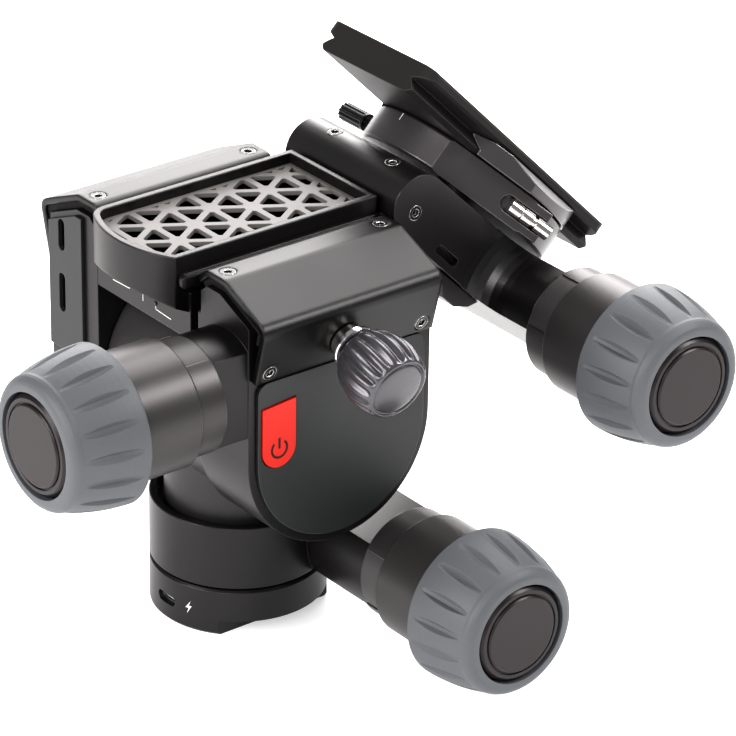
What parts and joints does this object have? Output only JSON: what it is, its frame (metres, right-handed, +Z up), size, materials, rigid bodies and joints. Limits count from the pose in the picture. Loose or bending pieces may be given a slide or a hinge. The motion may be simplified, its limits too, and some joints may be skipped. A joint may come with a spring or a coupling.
{
  "type": "motorised tripod head",
  "caption": "Motorised camera head for night-sky tracking: worm-driven pan, tilt and tracking axes with fluted hand knobs, and a sloping arm with a dovetail camera clamp.",
  "frame": {"origin": "centre of the tripod thread at the base's bottom face", "axes": "+Z up along the pan axis, +X along the covers towards the sloping arm, -Y towards the pan knob"},
  "size_m": [0.247, 0.1853, 0.1868],
  "materials": {
    "anodised": "satin",
    "knuckle_grey": "satin",
    "face_grey": "satin",
    "clamp_black": "satin",
    "shell_black": "satin",
    "grip_rubber": "matte",
    "cap_grey": "satin",
    "tongue_grey": "satin",
    "steel": "satin",
    "bronze": "satin",
    "bright": "polished",
    "grille_beige": "matte",
    "button_red": "satin",
    "board_green": "satin",
    "battery_wrap": "satin",
    "screw_black": "satin",
    "pad_rubber": "matte"
  },
  "bodies": {
    "base": {"base_shell": "anodised", "tripod_bush": "steel", "charge_port": "steel", "pan_spindle": "steel", "pan_wheel": "bronze", "thrust_washer": "shell_black", "spindle_nut": "steel"},
    "pan_stage": {"pan_housing": "anodised", "knuckle": "knuckle_grey", "tilt_shaft": "steel", "tilt_wheel": "bronze", "pan_motor": "steel", "pan_tongue": "tongue_grey", "pan_collar": "shell_black"},
    "pan_knob": {"pan_worm": "steel", "pan_hub": "cap_grey", "pan_grip": "grip_rubber"},
    "tilt_body": {"near_housing": "anodised", "far_housing": "anodised", "near_cover": "anodised", "far_cover": "anodised", "cover_seals": "pad_rubber", "near_face": "face_grey", "far_face": "face_grey", "bridge": "anodised", "grille": "grille_beige", "port_panel": "face_grey", "battery": "battery_wrap", "control_board": "board_green", "near_bush": "bronze", "far_bush": "bronze", "cover_screws": "screw_black", "arm": "anodised", "arm_cover": "shell_black", "arm_screws": "screw_black", "tilt_motor": "steel", "tilt_tongue": "tongue_grey", "tilt_collar": "shell_black", "track_motor": "steel", "track_tongue": "tongue_grey", "track_collar": "shell_black"},
    "tilt_knob": {"tilt_worm": "steel", "tilt_hub": "cap_grey", "tilt_grip": "grip_rubber"},
    "track_knob": {"track_worm": "steel", "track_hub": "cap_grey", "track_grip": "grip_rubber"},
    "lock_knob": {"lock_stud": "bright", "lock_grip": "shell_black"},
    "button": {"power_button": "button_red"},
    "clamp": {"track_spindle": "steel", "track_wheel": "bronze", "clamp_base": "clamp_black", "fixed_jaw": "clamp_black", "clamp_nut": "bright"},
    "jaw": {"clamp_jaw": "clamp_black"},
    "jaw_screw": {"clamp_screw": "steel"},
    "plate": {"camera_plate": "clamp_black", "plate_pad": "pad_rubber"},
    "plate_screw": {"camera_screw": "steel"}
  },
  "joints": [
    {"name": "pan", "type": "hinge", "parent": "base", "child": "pan_stage", "pos_m": [0, 0, 0.0293], "axis": [0, 0, 1], "continuous": true},
    {"name": "pan_knob_turn", "type": "hinge", "parent": "pan_stage", "child": "pan_knob", "pos_m": [0.0258, 0, 0.0293], "axis": [0, -1, 0], "continuous": true},
    {"name": "tilt", "type": "hinge", "parent": "pan_stage", "child": "tilt_body", "pos_m": [0, 0, 0.0824], "axis": [0, 1, 0], "range_deg": [-40, 40]},
    {"name": "tilt_knob_turn", "type": "hinge", "parent": "tilt_body", "child": "tilt_knob", "pos_m": [0, -0.043, 0.1082], "axis": [-1, 0, 0], "range_deg": [-970, 970]},
    {"name": "track", "type": "hinge", "parent": "tilt_body", "child": "clamp", "pos_m": [0.07948, 0, 0.11312], "axis": [0.7071, 0, 0.7071], "continuous": true},
    {"name": "track_knob_turn", "type": "hinge", "parent": "tilt_body", "child": "track_knob", "pos_m": [0.09772, 0, 0.09488], "axis": [0, -1, 0], "continuous": true},
    {"name": "lock_turn", "type": "hinge", "parent": "tilt_body", "child": "lock_knob", "pos_m": [-0.0015, -0.05908, 0.1199], "axis": [0, -0.9676, -0.2524], "range_deg": [0, 270]},
    {"name": "power_press", "type": "slide", "parent": "tilt_body", "child": "button", "axis": [0, 1, 0], "range_m": [0, 0.0012], "stiffness_N_per_m": 900},
    {"name": "clamp_screw_turn", "type": "hinge", "parent": "clamp", "child": "jaw_screw", "pos_m": [0.09588, 0, 0.12953], "axis": [0, 1, 0], "range_deg": [0, 360]},
    {"name": "jaw_open", "type": "slide", "parent": "clamp", "child": "jaw", "axis": [0, -1, 0], "range_m": [0, 0.003]},
    {"name": "plate_slide", "type": "slide", "parent": "clamp", "child": "plate", "axis": [0.7071, 0, -0.7071], "range_m": [-0.01, 0.02]},
    {"name": "camera_screw_lift", "type": "slide", "parent": "plate", "child": "plate_screw", "axis": [0.7071, 0, 0.7071], "range_m": [0, 0.0045]}
  ],
  "couplings": [
    {"joint": "pan_knob_turn", "follows": "pan", "ratio": 24},
    {"joint": "tilt_knob_turn", "follows": "tilt", "ratio": 24},
    {"joint": "track_knob_turn", "follows": "track", "ratio": 24},
    {"joint": "clamp_screw_turn", "follows": "jaw_open", "rad_per_m": 2094.4}
  ]
}
